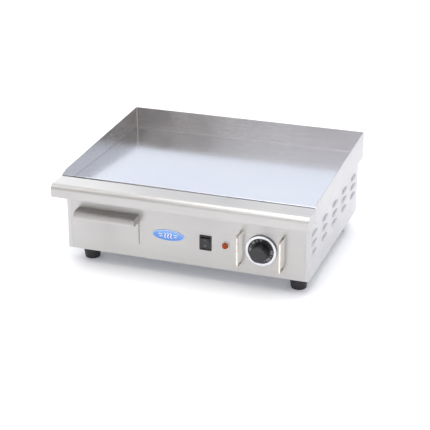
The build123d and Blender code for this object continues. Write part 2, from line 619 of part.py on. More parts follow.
THERMOSTAT_DEPTH = 34.0
THERMOSTAT_HALF = 20.0


def thermostat():
    """Capillary thermostat: mounting plate, neck, body and two blade terminals."""
    x = (KNOB_X - THERMOSTAT_HALF, KNOB_X + THERMOSTAT_HALF)
    z = (KNOB_Z - THERMOSTAT_HALF, KNOB_Z + THERMOSTAT_HALF)
    body = round_y_edges(block(x, (PANEL_IN_Y + 1.5, PANEL_IN_Y + THERMOSTAT_DEPTH), z), 3.0)
    body += block((x[0] + 2, x[1] - 2), (PANEL_IN_Y, PANEL_IN_Y + 1.5), (KNOB_Z - 8, KNOB_Z + 8))
    body += rod(5.0, on_axis(0), on_axis(-5.0))
    for side in (-1, 1):
        screw_x = KNOB_X + side * THERMOSTAT_SCREW
        body -= rod(SCREW_R, (screw_x, PANEL_IN_Y - 1, KNOB_Z), (screw_x, PANEL_IN_Y + 8, KNOB_Z))
        body += block((KNOB_X + side * 9 - 0.4, KNOB_X + side * 9 + 0.4),
                      (PANEL_IN_Y + THERMOSTAT_DEPTH, PANEL_IN_Y + THERMOSTAT_DEPTH + BLADE_LENGTH),
                      (KNOB_Z - 13.0, KNOB_Z - 7.0))
    return body - rod(SPINDLE_R + SPINDLE_FIT, on_axis(1), on_axis(-20.5))


def thermostat_screws():
    solids = []
    for side in (-1, 1):
        x = KNOB_X + side * THERMOSTAT_SCREW
        solids.append(screw(SCREW_R, 3.6, 1.8, (x, PANEL_IN_Y + 7, KNOB_Z), (x, PANEL_Y, KNOB_Z), (0, -1, 0)))
    return group(solids)


BULB_X = 16.0
BULB_R = 3.0
BULB_Z = PLATE_Z - BULB_R - 0.3
BULB_Y = (-12.0, 90.0)
CAPILLARY_R = 0.8
DROP_Y = (GUTTER_REAR_Y + BLANKET_Y[0]) / 2


def sensor_bulb(side):
    x = side * BULB_X
    return rod(BULB_R, (x, BULB_Y[0], BULB_Z), (x, BULB_Y[1], BULB_Z))


def bulb_clips():
    """Spring straps that hold both sensor bulbs up to the plate."""
    solids = []
    for side in (-1, 1):
        for y in (10.0, 74.0):
            x = side * BULB_X
            strap = block((x - 5, x + 5), (y - 4, y + 4), (BULB_Z - BULB_R - 1.2, PLATE_Z))
            room = block((x - 3.6, x + 3.6), (y - 5, y + 5), (BULB_Z - BULB_R - 0.2, PLATE_Z + 1))
            solids.append(strap - room)
    return group(solids)


THERMOSTAT_BACK_Y = PANEL_IN_Y + THERMOSTAT_DEPTH


def thermostat_capillary():
    """The thermostat's sensor bulb with the fine tube that leads back to its body."""
    points = [
        (BULB_X, BULB_Y[0], BULB_Z),
        (BULB_X, DROP_Y, BULB_Z),
        (BULB_X, DROP_Y, 118.0),
        (KNOB_X - 30.0, DROP_Y, 112.0),
        (KNOB_X, DROP_Y, KNOB_Z + 10.0),
        (KNOB_X, THERMOSTAT_BACK_Y, KNOB_Z + 10.0),
    ]
    return tube(points, [4.0, 12.0, 20.0, 6.0], CAPILLARY_R) + sensor_bulb(1)


LIMITER_X, LIMITER_Y = 100.0, -96.0


def limit_thermostat():
    """The over-temperature cut-out, a round can on its own small bracket foot."""
    low = BASE_Z + BODY_SHEET
    bracket = block((LIMITER_X - 18, LIMITER_X + 18), (LIMITER_Y - 12, LIMITER_Y + 20), (low, low + 1.5))
    bracket += block((LIMITER_X - 18, LIMITER_X + 18), (LIMITER_Y + 18.5, LIMITER_Y + 20), (low, 88.0))
    can = rod(15.0, (LIMITER_X, LIMITER_Y - 6, 68.0), (LIMITER_X, LIMITER_Y + 18.5, 68.0))
    for side in (-1, 1):
        bracket += block((LIMITER_X + side * 7 - 3, LIMITER_X + side * 7 + 3),
                         (LIMITER_Y - 14, LIMITER_Y - 6), (67.6, 68.4))
    return bracket + can


def limiter_capillary():
    """The cut-out's own bulb and tube."""
    points = [
        (-BULB_X, BULB_Y[0], BULB_Z),
        (-BULB_X, DROP_Y, BULB_Z),
        (-BULB_X, DROP_Y, 108.0),
        (LIMITER_X - 18.0, DROP_Y + 2.0, 104.0),
        (LIMITER_X, LIMITER_Y + 6.0, 98.0),
        (LIMITER_X, LIMITER_Y + 6.0, 83.0),
    ]
    return tube(points, [4.0, 12.0, 8.0, 5.0], CAPILLARY_R) + sensor_bulb(-1)


def guard(side):
    """A U-shaped bar beside the knob, whose two legs end in studs through the panel."""
    x = KNOB_X + side * GUARD_OFFSET
    front = ahead(GUARD_REACH - GUARD_R)
    low, high = GUARD_Z
    corners = [(x, PANEL_Y, low), (x, front, low), (x, front, high), (x, PANEL_Y, high)]
    bar = tube(corners, [GUARD_BEND, GUARD_BEND], GUARD_R)
    for z in GUARD_Z:
        bar += rod(GUARD_STUD_R, (x, ahead(2.0), z), (x, PANEL_IN_Y + 5.0, z))
    return bar


def guard_nuts():
    solids = []
    for side in (-1, 1):
        x = KNOB_X + side * GUARD_OFFSET
        for z in GUARD_Z:
            plane = Plane(origin=(x, PANEL_IN_Y, z), z_dir=(0, 1, 0))
            nut = extrude(plane * RegularPolygon(3.2, 6), amount=2.4)
            solids.append(nut - rod(GUARD_STUD_R, (x, PANEL_IN_Y, z), (x, PANEL_IN_Y + 2.4, z)))
    return group(solids)


# ---------------------------------------------------------------- heating and insulation
ELEMENT_Z = PLATE_Z - ELEMENT_R - 0.3
CLAMP_Z = (ELEMENT_Z - ELEMENT_R - 3.2, ELEMENT_Z - ELEMENT_R - 0.2)
REFLECTOR_Z = (BLANKET_Z[1], BLANKET_Z[1] + BODY_SHEET)
TRAY_SHEET_Z = (BLANKET_Z[0] - BODY_SHEET, BLANKET_Z[0])
TERMINAL_Z = 122.0


def element_runs(centre):
    first = centre - ELEMENT_PITCH * (ELEMENT_RUNS - 1) / 2
    return [first + ELEMENT_PITCH * i for i in range(ELEMENT_RUNS)]


def heating_element(centre):
    """A tubular element bent into four runs, with both ends turned down to its terminals."""
    runs = element_runs(centre)
    front, back = ELEMENT_Y
    points = [(runs[0], front, TERMINAL_Z)]
    radii = []
    for index, x in enumerate(runs):
        ends = (front, back) if index % 2 == 0 else (back, front)
        points += [(x, ends[0], ELEMENT_Z), (x, ends[1], ELEMENT_Z)]
        radii += [12.0 if index == 0 else ELEMENT_PITCH / 2 - 0.5, ELEMENT_PITCH / 2 - 0.5]
    points.append((runs[-1], front, TERMINAL_Z))
    radii[-1] = 12.0
    return tube(points, radii, ELEMENT_R)


def element_clamp(y):
    bar = block((-228.0, 228.0), (y - 9.0, y + 9.0), CLAMP_Z)
    for x in STUD_X:
        bar -= rod(STUD_R + 0.2, (x, y, CLAMP_Z[0] - 1), (x, y, CLAMP_Z[1] + 1))
    return bar


def stud_places():
    return [(x, y) for y in CLAMP_Y for x in STUD_X]


def plate_studs():
    return group(rod(STUD_R, (x, y, BLANKET_Z[0] - 10.0), (x, y, PLATE_Z)) for x, y in stud_places())


def stud_nuts():
    """The nuts under the clamp bars and under the insulation tray."""
    levels = (CLAMP_Z[0] - NUT_HEIGHT, TRAY_SHEET_Z[0] - NUT_HEIGHT)
    return group(hex_nut(x, y, low) for low in levels for x, y in stud_places())


def under_plate_sheet(z, grow):
    """A flat layer under the elements, with holes for the studs and the element ends."""
    sheet = block((-BLANKET_X - grow, BLANKET_X + grow), BLANKET_Y, z)
    for x, y in stud_places():
        sheet -= rod(STUD_R + 0.3, (x, y, z[0] - 1), (x, y, z[1] + 1))
    for centre in ELEMENT_X:
        runs = element_runs(centre)
        for x in (runs[0], runs[-1]):
            sheet -= rod(ELEMENT_R + 1.0, (x, ELEMENT_Y[0], z[0] - 1), (x, ELEMENT_Y[0], z[1] + 1))
    return sheet


# ---------------------------------------------------------------- supply side
BLOCK_Y = (150.0, 180.0)
BLOCK_X = (140.0, 200.0)
BLOCK_Z = (BASE_Z + BODY_SHEET, BASE_Z + BODY_SHEET + 24.0)


def terminal_block():
    """Three-pole terminal block with a screw well over each pole."""
    body = block(BLOCK_X, BLOCK_Y, BLOCK_Z)
    step = (BLOCK_X[1] - BLOCK_X[0]) / 3
    for pole in range(3):
        x = BLOCK_X[0] + step * (pole + 0.5)
        for y in (BLOCK_Y[0] + 8.0, BLOCK_Y[1] - 8.0):
            body -= rod(3.5, (x, y, BLOCK_Z[1] - 8.0), (x, y, BLOCK_Z[1] + 1))
    for pole in (1, 2):
        x = BLOCK_X[0] + step * pole
        groove_z = (BLOCK_Z[1] - 5.0, BLOCK_Z[1] + 1)
        body -= block((x - 1.0, x + 1.0), (BLOCK_Y[0] - 1, BLOCK_Y[1] + 1), groove_z)
    return body


def earth_stud():
    x, y = 110.0, 170.0
    low = BASE_Z + BODY_SHEET
    stud = rod(2.5, (x, y, low), (x, y, low + 20.0))
    return stud + extrude(Pos(x, y, low) * RegularPolygon(5.0, 6), amount=4.0)


def gland_point(out):
    return (GLAND_X, BACK_Y + out, GLAND_Z)


def cable_gland():
    """The inlet gland: hexagon, dome cap and threaded barrel round the cable's hole."""
    plane = Plane(origin=gland_point(0), z_dir=(0, 1, 0))
    body = extrude(plane * RegularPolygon(13.0, 6), amount=5.0)
    dome = rod(11.0, gland_point(5.0), gland_point(GLAND_REACH))
    body += fillet(dome.edges().filter_by(GeomType.CIRCLE).sort_by(Axis.Y)[-1], 3.0)
    body += rod(GLAND_THREAD_R, gland_point(-12.0), gland_point(0))
    return body - rod(CABLE_HOLE_R, gland_point(-13.0), gland_point(GLAND_REACH + 1))


def gland_nut():
    plane = Plane(origin=gland_point(-BODY_SHEET - 4.5), z_dir=(0, 1, 0))
    nut = extrude(plane * RegularPolygon(13.0, 6), amount=4.5)
    return nut - rod(GLAND_THREAD_R, gland_point(-7), gland_point(1))


LEAD_R = 1.5


def lead(points, radii):
    return tube(points, radii, LEAD_R)


def internal_leads():
    """The wiring between the terminal block, switch, thermostat and element ends."""
    floor = BASE_Z + BODY_SHEET + 8.0
    thermostat_blade_y = THERMOSTAT_BACK_Y + BLADE_LENGTH
    left_end, right_end = element_runs(ELEMENT_X[1])[0], element_runs(ELEMENT_X[1])[-1]
    supply_x = BLOCK_X[0] + 10.0
    element_y = ELEMENT_Y[0]
    return {
        "lead_supply_switch": lead(
            [(supply_x, BLOCK_Y[0], floor), (supply_x, 100.0, floor), (110.0, 20.0, floor),
             (SWITCH_X - 5.0, -60.0, floor), (SWITCH_X - 5.0, -130.0, floor + 10.0),
             (SWITCH_X - 5.0, BLADE_Y + 10.0, CONTROL_Z - 7.0), (SWITCH_X - 5.0, BLADE_Y, CONTROL_Z - 7.0)],
            [20.0, 20.0, 15.0, 8.0, 3.0]),
        "lead_switch_thermostat": lead(
            [(SWITCH_X + 5.0, BLADE_Y, CONTROL_Z + 7.0), (SWITCH_X + 5.0, BLADE_Y + 12.0, CONTROL_Z + 7.0),
             (110.0, -132.0, 104.0), (KNOB_X - 9.0, -128.0, KNOB_Z - 10.0),
             (KNOB_X - 9.0, thermostat_blade_y, KNOB_Z - 10.0)],
            [4.0, 15.0, 4.0]),
        "lead_thermostat_element": lead(
            [(KNOB_X + 9.0, thermostat_blade_y, KNOB_Z - 10.0), (KNOB_X + 9.0, -118.0, KNOB_Z - 10.0),
             (right_end, -90.0, KNOB_Z - 6.0), (right_end, element_y, 100.0),
             (right_end, element_y, TERMINAL_Z)],
            [5.0, 6.0, 4.0]),
        "lead_neutral_element": lead(
            [(BLOCK_X[1] - 10.0, BLOCK_Y[0], floor), (BLOCK_X[1] - 10.0, 60.0, floor),
             (100.0, -20.0, floor + 14.0), (left_end, element_y, 80.0), (left_end, element_y, TERMINAL_Z)],
            [20.0, 20.0, 12.0]),
    }


# ---------------------------------------------------------------- the parts list
def build_all():
    parts = {
        "griddle_plate": griddle_plate(),
        "splash_left": side_splash(-1),
        "splash_right": side_splash(1),
        "splash_back": back_splash(),
        "front_rail": front_rail(),
        "gutter_channel": gutter_channel(),
        "drain_spout": drain_spout(),
        "front_panel": front_panel(),
        "side_panel_left": side_panel(-1),
        "side_panel_right": side_panel(1),
        "back_panel": back_panel(),
        "base_panel": base_panel(),
        "foot_bolts": foot_bolts(),
        "case_screws": case_screws(),
        "drawer_front": drawer_front(),
        "drawer_tray": drawer_tray(),
        "drawer_runner_left": drawer_runner(-1),
        "drawer_runner_right": drawer_runner(1),
        "drawer_stop": runner_stop(),
        "switch_housing": switch_housing(),
        "switch_rocker": switch_rocker(),
        "lamp_lens": lamp_lens(),
        "lamp_body": lamp_body(),
        "lamp_nut": lamp_nut(),
        "badge": badge(),
        "knob_body": knob_body(),
        "knob_ring": knob_ring(),
        "thermostat_spindle": spindle(),
        "thermostat": thermostat(),
        "thermostat_screws": thermostat_screws(),
        "thermostat_capillary": thermostat_capillary(),
        "limit_thermostat": limit_thermostat(),
        "limiter_capillary": limiter_capillary(),
        "bulb_clips": bulb_clips(),
        "knob_guard_left": guard(-1),
        "knob_guard_right": guard(1),
        "guard_nuts": guard_nuts(),
        "heating_element_left": heating_element(ELEMENT_X[0]),
        "heating_element_right": heating_element(ELEMENT_X[1]),
        "plate_studs": plate_studs(),
        "stud_nuts": stud_nuts(),
        "reflector_sheet": under_plate_sheet(REFLECTOR_Z, 4.0),
        "insulation_blanket": under_plate_sheet(BLANKET_Z, 0.0),
        "insulation_tray": under_plate_sheet(TRAY_SHEET_Z, 4.0),
        "terminal_block": terminal_block(),
        "earth_stud": earth_stud(),
        "cable_gland": cable_gland(),
        "gland_nut": gland_nut(),
    }
    for index, y in enumerate(CLAMP_Y, start=1):
        parts[f"element_clamp_{index}"] = element_clamp(y)
    parts.update(internal_leads())
    return parts


for node, solid in build_all().items():
    save(node, solid)

foot_names = ("foot_front_left", "foot_front_right", "foot_back_left", "foot_back_right")
for node, place in zip(foot_names, foot_places()):
    save(node, foot(*place))
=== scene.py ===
import json
import math

import bmesh
import bpy
from mathutils import Matrix, Vector
from mathutils.bvhtree import BVHTree

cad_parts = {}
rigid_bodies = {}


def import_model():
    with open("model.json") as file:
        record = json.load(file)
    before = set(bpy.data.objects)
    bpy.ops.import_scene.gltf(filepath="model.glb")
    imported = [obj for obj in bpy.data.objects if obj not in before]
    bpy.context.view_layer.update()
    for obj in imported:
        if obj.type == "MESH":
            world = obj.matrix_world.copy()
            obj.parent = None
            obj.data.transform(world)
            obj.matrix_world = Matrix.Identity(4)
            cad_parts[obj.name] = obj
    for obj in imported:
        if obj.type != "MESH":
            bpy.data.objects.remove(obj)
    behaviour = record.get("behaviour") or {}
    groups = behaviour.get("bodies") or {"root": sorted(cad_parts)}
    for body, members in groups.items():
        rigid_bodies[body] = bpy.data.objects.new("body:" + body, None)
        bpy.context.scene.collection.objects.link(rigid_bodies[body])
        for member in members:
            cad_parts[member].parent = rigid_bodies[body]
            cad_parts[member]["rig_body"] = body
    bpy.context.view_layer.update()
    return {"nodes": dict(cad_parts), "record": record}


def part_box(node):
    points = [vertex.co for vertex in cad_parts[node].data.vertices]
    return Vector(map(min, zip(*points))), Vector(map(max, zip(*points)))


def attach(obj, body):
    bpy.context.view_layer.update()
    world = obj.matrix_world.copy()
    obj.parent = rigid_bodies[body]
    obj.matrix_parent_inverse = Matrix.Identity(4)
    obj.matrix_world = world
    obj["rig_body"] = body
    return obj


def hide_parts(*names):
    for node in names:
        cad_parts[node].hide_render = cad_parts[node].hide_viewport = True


# Looks for the electric griddle: refined skins over the CAD nodes, small details, materials,
# light and camera.
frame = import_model()
NODES = frame["nodes"]
SCENE = bpy.context.scene
ROOT = SCENE.collection
MM = 0.001


# ---------------------------------------------------------------- camera, floor and light
TARGET = Vector((-0.00248, 0.00820, 0.07051))
DISTANCE = 2.73935
AZIMUTH = math.radians(19.41)
ELEVATION = math.radians(22.57)
ROLL = math.radians(0.08)
LENS = 104.3


def make_camera():
    """The camera at the photograph's angle."""
    data = bpy.data.cameras.new("camera")
    data.lens = LENS
    data.sensor_width = 36.0
    data.clip_start = 0.05
    data.clip_end = 60.0
    camera = bpy.data.objects.new("camera", data)
    ROOT.objects.link(camera)
    back = Vector((
        math.sin(AZIMUTH) * math.cos(ELEVATION),
        -math.cos(AZIMUTH) * math.cos(ELEVATION),
        math.sin(ELEVATION),
    ))
    camera.location = TARGET + back * DISTANCE
    turn = (-back).to_track_quat("-Z", "Y").to_matrix().to_4x4() @ Matrix.Rotation(ROLL, 4, "Z")
    camera.rotation_euler = turn.to_euler()
    SCENE.camera = camera


def area_light(name, place, aim, size, power, colour):
    data = bpy.data.lights.new(name, "AREA")
    data.shape = "RECTANGLE"
    data.size, data.size_y = size
    data.energy = power
    data.color = colour
    light = bpy.data.objects.new(name, data)
    ROOT.objects.link(light)
    light.location = place
    light.rotation_euler = (Vector(aim) - Vector(place)).to_track_quat("-Z", "Y").to_euler()
    light.visible_camera = False


class Tree:
    """A short way to add and link shader nodes."""

    def __init__(self, owner):
        owner.use_nodes = True
        self.tree = owner.node_tree
        self.tree.nodes.clear()

    def add(self, kind, settings=None, **inputs):
        node = self.tree.nodes.new(kind)
        for key, value in (settings or {}).items():
            setattr(node, key, value)
        for key, value in inputs.items():
            self.put(node, key, value)
        return node

    def put(self, node, key, value):
        socket = node.inputs[int(key[1:])] if key[0] == "_" else node.inputs[key.replace("_", " ")]
        if isinstance(value, bpy.types.NodeSocket):
            self.tree.links.new(value, socket)
        else:
            socket.default_value = value

    def coordinates(self, scale=(1, 1, 1), turn=(0, 0, 0)):
        place = self.add("ShaderNodeTexCoord").outputs["Object"]
        return self.add("ShaderNodeMapping", Vector=place, Scale=scale, Rotation=turn).outputs[0]

    def noise(self, scale, where, detail=3.0, rough=0.55, distortion=0.0):
        node = self.add("ShaderNodeTexNoise", Vector=where, Scale=scale, Detail=detail,
                        Roughness=rough, Distortion=distortion)
        return node.outputs["Fac"]

    def map(self, value, low, high, start=0.0, stop=1.0):
        return self.add("ShaderNodeMapRange", _0=value, _1=start, _2=stop, _3=low, _4=high).outputs[0]

    def math(self, operation, a, b=0.0):
        return self.add("ShaderNodeMath", {"operation": operation}, _0=a, _1=b).outputs[0]

    def mix(self, factor, a, b):
        node = self.add("ShaderNodeMix", {"data_type": "RGBA"})
        for index, value in ((0, factor), (6, a), (7, b)):
            self.put(node, f"_{index}", value)
        return node.outputs[2]

    def ramp(self, value, stops):
        node = self.add("ShaderNodeValToRGB", _0=value)
        elements = node.color_ramp.elements
        while len(elements) < len(stops):
            elements.new(0.5)
        for element, (position, colour) in zip(elements, stops):
            element.position = position
            element.color = (*colour, 1.0)
        return node.outputs[0]

    def bump(self, height, strength, distance):
        return self.add("ShaderNodeBump", Height=height, Strength=strength, Distance=distance).outputs[0]


def make_world():
    """A studio sky by height: pale behind the griddle, darker half-way up in front of it."""
    world = bpy.data.worlds.new("studio")
    SCENE.world = world
    t = Tree(world)
    direction = t.add("ShaderNodeTexCoord").outputs["Generated"]
    axes = t.add("ShaderNodeSeparateXYZ", _0=direction).outputs
    height = t.map(axes[2], 0.0, 1.0, -0.1, 1.0)
    behind = t.ramp(height, [
        (0.00, (0.90, 0.91, 0.93)),
        (0.10, (0.72, 0.76, 0.84)),
        (0.26, (1.00, 1.04, 1.13)),
        (0.45, (1.06, 1.10, 1.20)),
        (1.00, (1.00, 1.00, 1.00)),
    ])
    ahead = t.ramp(height, [
        (0.00, (0.95, 0.94, 0.93)),
        (0.12, (0.85, 0.83, 0.81)),
        (0.25, (0.60, 0.56, 0.53)),
        (0.44, (0.36, 0.32, 0.29)),
        (0.68, (0.60, 0.58, 0.57)),
        (1.00, (1.00, 1.00, 1.00)),
    ])
    sky = t.mix(t.map(axes[1], 0.0, 1.0, -0.2, 0.2), ahead, behind)
    background = t.add("ShaderNodeBackground", Color=sky, Strength=1.0)
    t.add("ShaderNodeOutputWorld", Surface=background.outputs[0])


def make_floor():
    """A wide white floor that reaches further behind the griddle than in front of it."""
    half = 6.0
    mesh = bpy.data.meshes.new("floor")
    corners = [(-half, -half, 0), (half, -half, 0), (half, half + 6, 0), (-half, half + 6, 0)]
    mesh.from_pydata(corners, [], [(0, 1, 2, 3)])
    floor = bpy.data.objects.new("floor", mesh)
    ROOT.objects.link(floor)
    material = bpy.data.materials.new("floor_white")
    t = Tree(material)
    grain = t.noise(3.0, t.coordinates(), 2.0)
    colour = t.mix(grain, (0.90, 0.90, 0.91, 1), (0.93, 0.93, 0.93, 1))
    surface = t.add("ShaderNodeBsdfPrincipled", Base_Color=colour, Roughness=0.85, Specular_IOR_Level=0.1,
                    Emission_Color=(0.82, 0.88, 1.0, 1.0), Emission_Strength=0.14)
    t.add("ShaderNodeOutputMaterial", Surface=surface.outputs[0])
    mesh.materials.append(material)


# ---------------------------------------------------------------- materials
def principled(name, build, **fixed):
    """A material whose build(tree) returns the linked inputs; fixed are the constant ones."""
    material = bpy.data.materials.new(name)
    t = Tree(material)
    linked = build(t)
    surface = t.add("ShaderNodeBsdfPrincipled", **linked, **fixed)
    t.add("ShaderNodeOutputMaterial", Surface=surface.outputs[0])
    return material


GROOVE_DEPTH = 0.01 * MM


def brushed(name, light, dark, rough, along, smudge=0.05):
    """Sheet steel brushed along X or Y, with faint streaks and soft handling marks.

    Where a face looks along the grain's axis, its grain runs along the other of the two.
    """
    fine = {"x": (12, 2600, 2600), "y": (2600, 12, 2600)}[along]
    wide = {"x": (1.5, 260, 260), "y": (260, 1.5, 260)}[along]

    def build(t):
        grain = t.noise(1.0, t.coordinates(fine), 3.0, 0.6)
        streak = t.noise(1.0, t.coordinates(wide), 3.0, 0.6)
        cloud = t.noise(9.0, t.coordinates(), 3.0, 0.5, 0.4)
        tone = t.math("ADD", t.math("MULTIPLY", streak, 0.6), t.math("MULTIPLY", cloud, 0.4))
        colour = t.mix(t.map(tone, 0.0, 1.0, 0.3, 0.7), (*dark, 1), (*light, 1))
        spread = t.math("ADD", t.map(grain, -0.05, 0.05, 0.3, 0.7), t.map(cloud, -smudge, smudge, 0.3, 0.7))
        bump = t.bump(t.math("ADD", grain, t.math("MULTIPLY", streak, 0.5)), 0.35, GROOVE_DEPTH)
        normal = t.add("ShaderNodeNewGeometry").outputs["True Normal"]
        facing = t.add("ShaderNodeSeparateXYZ", _0=normal).outputs["xyz".index(along)]
        turned = t.map(t.math("ABSOLUTE", facing), 0.0, 1.0, 0.75, 0.85)
        ways = {"x": (1.0, 0.0, 0.0, 1.0), "y": (0.0, 1.0, 0.0, 1.0)}
        grooves = t.mix(turned, ways[along], ways["y" if along == "x" else "x"])
        return {"Base_Color": colour, "Roughness": t.math("ADD", spread, rough), "Normal": bump,
                "Tangent": grooves}

    return principled(name, build, Metallic=1.0, Anisotropic=0.75, Anisotropic_Rotation=0.25)


def polished_plate():
    def build(t):
        lap = t.noise(1.0, t.coordinates((6, 900, 900)), 3.0, 0.6)
        swirl = t.noise(55.0, t.coordinates((1.0, 2.2, 1.0), (0, 0, 0.5)), 4.0, 0.65, 1.5)
        cloud = t.noise(5.0, t.coordinates(), 3.0, 0.5, 0.6)
        colour = t.mix(t.map(cloud, 0.0, 1.0, 0.3, 0.7), (0.675, 0.69, 0.73, 1), (0.715, 0.728, 0.76, 1))
        rough = t.math("ADD", t.map(swirl, 0.15, 0.20, 0.35, 0.65), t.map(cloud, -0.015, 0.02, 0.3, 0.7))
        return {"Base_Color": colour, "Roughness": rough, "Normal": t.bump(lap, 0.12, 0.000004)}

    return principled("plate_polish", build, Metallic=1.0)


def plated(name, light, dark, rough, scale=160.0):
    """Plated or bright-drawn small parts: cloudy plating, darker where it is worn."""
    def build(t):
        cloud = t.noise(scale, t.coordinates(), 4.0, 0.6, 0.3)
        fine = t.noise(scale * 14, t.coordinates(), 2.0)
        colour = t.mix(t.map(cloud, 0.0, 1.0, 0.3, 0.7), (*dark, 1), (*light, 1))
        return {"Base_Color": colour, "Roughness": t.map(cloud, rough + 0.05, rough - 0.03, 0.3, 0.7),
                "Normal": t.bump(fine, 0.2, 0.00001)}

    return principled(name, build, Metallic=1.0)


def moulded(name, light, dark, rough, grain=2200.0, depth=0.03 * MM):
    """Moulded plastic, rubber or sleeving: a fine spark-eroded grain and soft colour variation."""
    def build(t):
        cloud = t.noise(120.0, t.coordinates(), 3.0, 0.55)
        fine = t.noise(grain, t.coordinates(), 2.0, 0.6)
        colour = t.mix(t.map(cloud, 0.0, 1.0, 0.3, 0.7), (*dark, 1), (*light, 1))
        return {"Base_Color": colour, "Roughness": t.map(fine, rough - 0.05, rough + 0.08, 0.3, 0.7),
                "Normal": t.bump(fine, 0.4, depth)}

    return principled(name, build)


def fibre_board():
    def build(t):
        wisp = t.noise(90.0, t.coordinates((1, 1, 3)), 6.0, 0.7, 2.0)
        lump = t.noise(28.0, t.coordinates(), 3.0)
        colour = t.mix(t.map(wisp, 0.0, 1.0, 0.3, 0.7), (0.70, 0.67, 0.60, 1), (0.90, 0.88, 0.82, 1))
        height = t.math("ADD", wisp, lump)
        return {"Base_Color": colour, "Normal": t.bump(height, 0.8, 0.0008)}

    return principled("ceramic_fibre", build, Roughness=0.95, Sheen_Weight=0.2)


def badge_enamel(low, high):
    """Domed blue enamel that is lighter towards the top, with a fine metallic fleck."""
    def build(t):
        axes = t.add("ShaderNodeSeparateXYZ", _0=t.coordinates()).outputs
        rise = t.map(axes[2], 0.0, 1.0, low, high)
        fleck = t.noise(2600.0, t.coordinates(), 2.0)
        base = t.ramp(rise, [(0.0, (0.05, 0.19, 0.62)), (0.5, (0.10, 0.30, 0.83)), (1.0, (0.22, 0.48, 0.95))])
        colour = t.mix(t.map(fleck, 0.0, 0.12, 0.55, 0.75), base, (0.55, 0.72, 1.0, 1))
        return {"Base_Color": colour, "Roughness": t.map(fleck, 0.22, 0.32, 0.3, 0.7)}

    return principled("badge_enamel", build, Coat_Weight=0.8, Coat_Roughness=0.06)


def amber_lens():
    def build(t):
        cell = t.add("ShaderNodeTexVoronoi", Vector=t.coordinates(), Scale=900.0).outputs["Distance"]
        cloud = t.noise(260.0, t.coordinates(), 2.0)
        colour = t.mix(t.map(cloud, 0.0, 1.0, 0.3, 0.7), (0.30, 0.038, 0.003, 1), (0.42, 0.075, 0.008, 1))
        return {"Base_Color": colour, "Normal": t.bump(cell, 0.35, 0.0002),
                "Roughness": t.map(cloud, 0.12, 0.2, 0.3, 0.7)}

    return principled("amber_lens", build, IOR=1.4, Specular_IOR_Level=0.3)


FRONT = brushed("brushed_front", (0.535, 0.526, 0.518), (0.495, 0.486, 0.478), 0.37, "x")
SIDE = brushed("brushed_side", (0.555, 0.55, 0.558), (0.52, 0.515, 0.522), 0.35, "y")
SPLASH_X = brushed("satin_splash_x", (0.61, 0.602, 0.605), (0.565, 0.555, 0.555), 0.24, "x")
SPLASH_Y = brushed("satin_splash_y", (0.61, 0.602, 0.605), (0.565, 0.555, 0.555), 0.24, "y")
MILL = brushed("mill_finish", (0.56, 0.56, 0.56), (0.47, 0.47, 0.48), 0.38, "x", smudge=0.08)
PLATE = polished_plate()
BRIGHT = plated("bright_plating", (0.66, 0.67, 0.70), (0.58, 0.59, 0.62), 0.20)
GUARD = plated("guard_plating", (0.84, 0.80, 0.71), (0.72, 0.67, 0.57), 0.24)
ZINC = plated("zinc_plating", (0.66, 0.66, 0.67), (0.50, 0.50, 0.52), 0.32)
BRASS = plated("drawn_brass", (0.78, 0.58, 0.32), (0.62, 0.42, 0.22), 0.28)
OXIDE = plated("oxidised_sheath", (0.34, 0.32, 0.30), (0.20, 0.18, 0.17), 0.5, scale=60.0)
BLACK = moulded("black_moulding", (0.022, 0.022, 0.025), (0.012, 0.012, 0.014), 0.32)
RUBBER = moulded("foot_rubber", (0.032, 0.031, 0.037), (0.018, 0.018, 0.022), 0.6, 900.0, 0.08 * MM)
WHITE = moulded("white_moulding", (0.86, 0.85, 0.82), (0.78, 0.77, 0.73), 0.45)
SLEEVE = moulded("woven_sleeve", (0.74, 0.70, 0.62), (0.52, 0.48, 0.42), 0.8, 1500.0, 0.2 * MM)
PRINT = moulded("printed_white", (0.88, 0.88, 0.88), (0.80, 0.80, 0.80), 0.5)
FAINT = moulded("printed_grey", (0.20, 0.20, 0.21), (0.15, 0.15, 0.16), 0.5)
DIAL = moulded("dial_print", (0.50, 0.50, 0.53), (0.42, 0.42, 0.45), 0.5)
WELD = plated("ground_weld", (0.80, 0.79, 0.78), (0.66, 0.65, 0.64), 0.28)
FIBRE = fibre_board()
AMBER = amber_lens()


# ---------------------------------------------------------------- refined copies of the CAD shapes
SLOTS = {part["node"]: part["material_slot"] for part in frame["record"]["subparts"]}


def new_object(name, mesh, body):
    piece = bpy.data.objects.new(name, mesh)
    ROOT.objects.link(piece)
    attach(piece, body)
    return piece


MERGE_DISTANCE = 0.002 * MM
FLAT_ANGLE = math.radians(0.4)     # neighbouring faces closer than this become one
EDGE_ANGLE = math.radians(35.0)    # edges sharper than this are rounded


